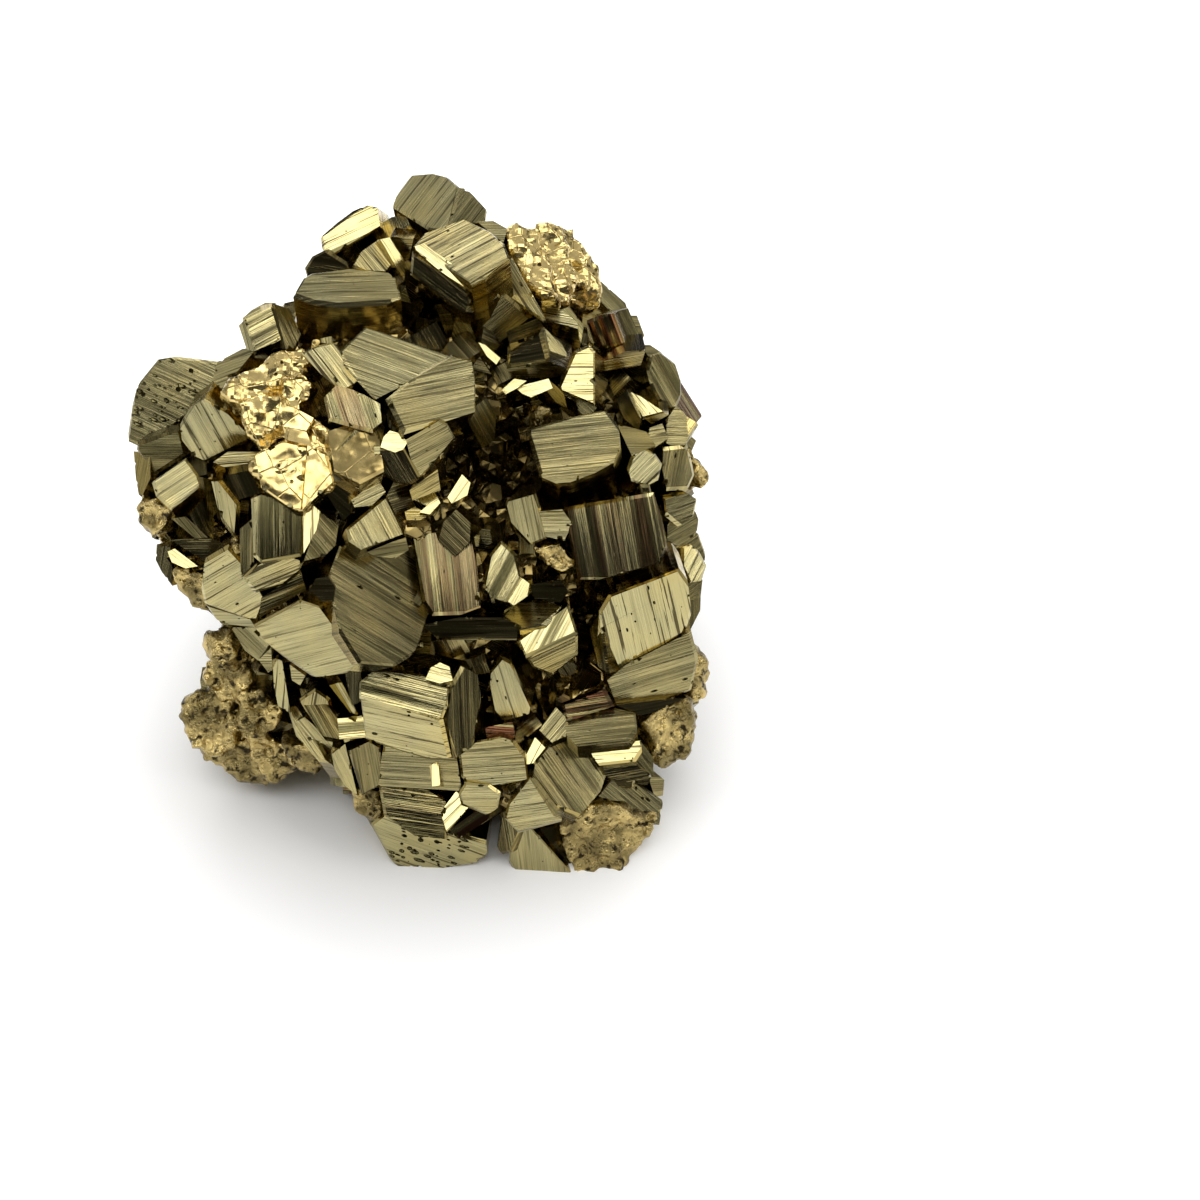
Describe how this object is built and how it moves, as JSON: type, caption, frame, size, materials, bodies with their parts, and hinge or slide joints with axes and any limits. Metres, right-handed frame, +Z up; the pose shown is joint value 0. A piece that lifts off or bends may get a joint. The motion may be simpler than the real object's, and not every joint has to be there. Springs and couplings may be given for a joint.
{
  "type": "pyrite specimen",
  "caption": "Free-standing cluster of striated cubic pyrite crystals grown together, with lumpy granular patches and a flat base to rest on.",
  "frame": {"origin": "centre of the bounding box's underside, on the surface the cluster rests on", "axes": "+Z up out of the flat base, the face seen in the reference view looks along -Y, +X to its right"},
  "size_m": [0.0402, 0.038, 0.0403],
  "materials": {
    "pyrite": "brassy metallic crystal faces with fine parallel striations, pale khaki to gold, partly tarnished brown"
  },
  "bodies": {
    "root": {"pyrite_cluster": "pyrite"}
  },
  "joints": []
}
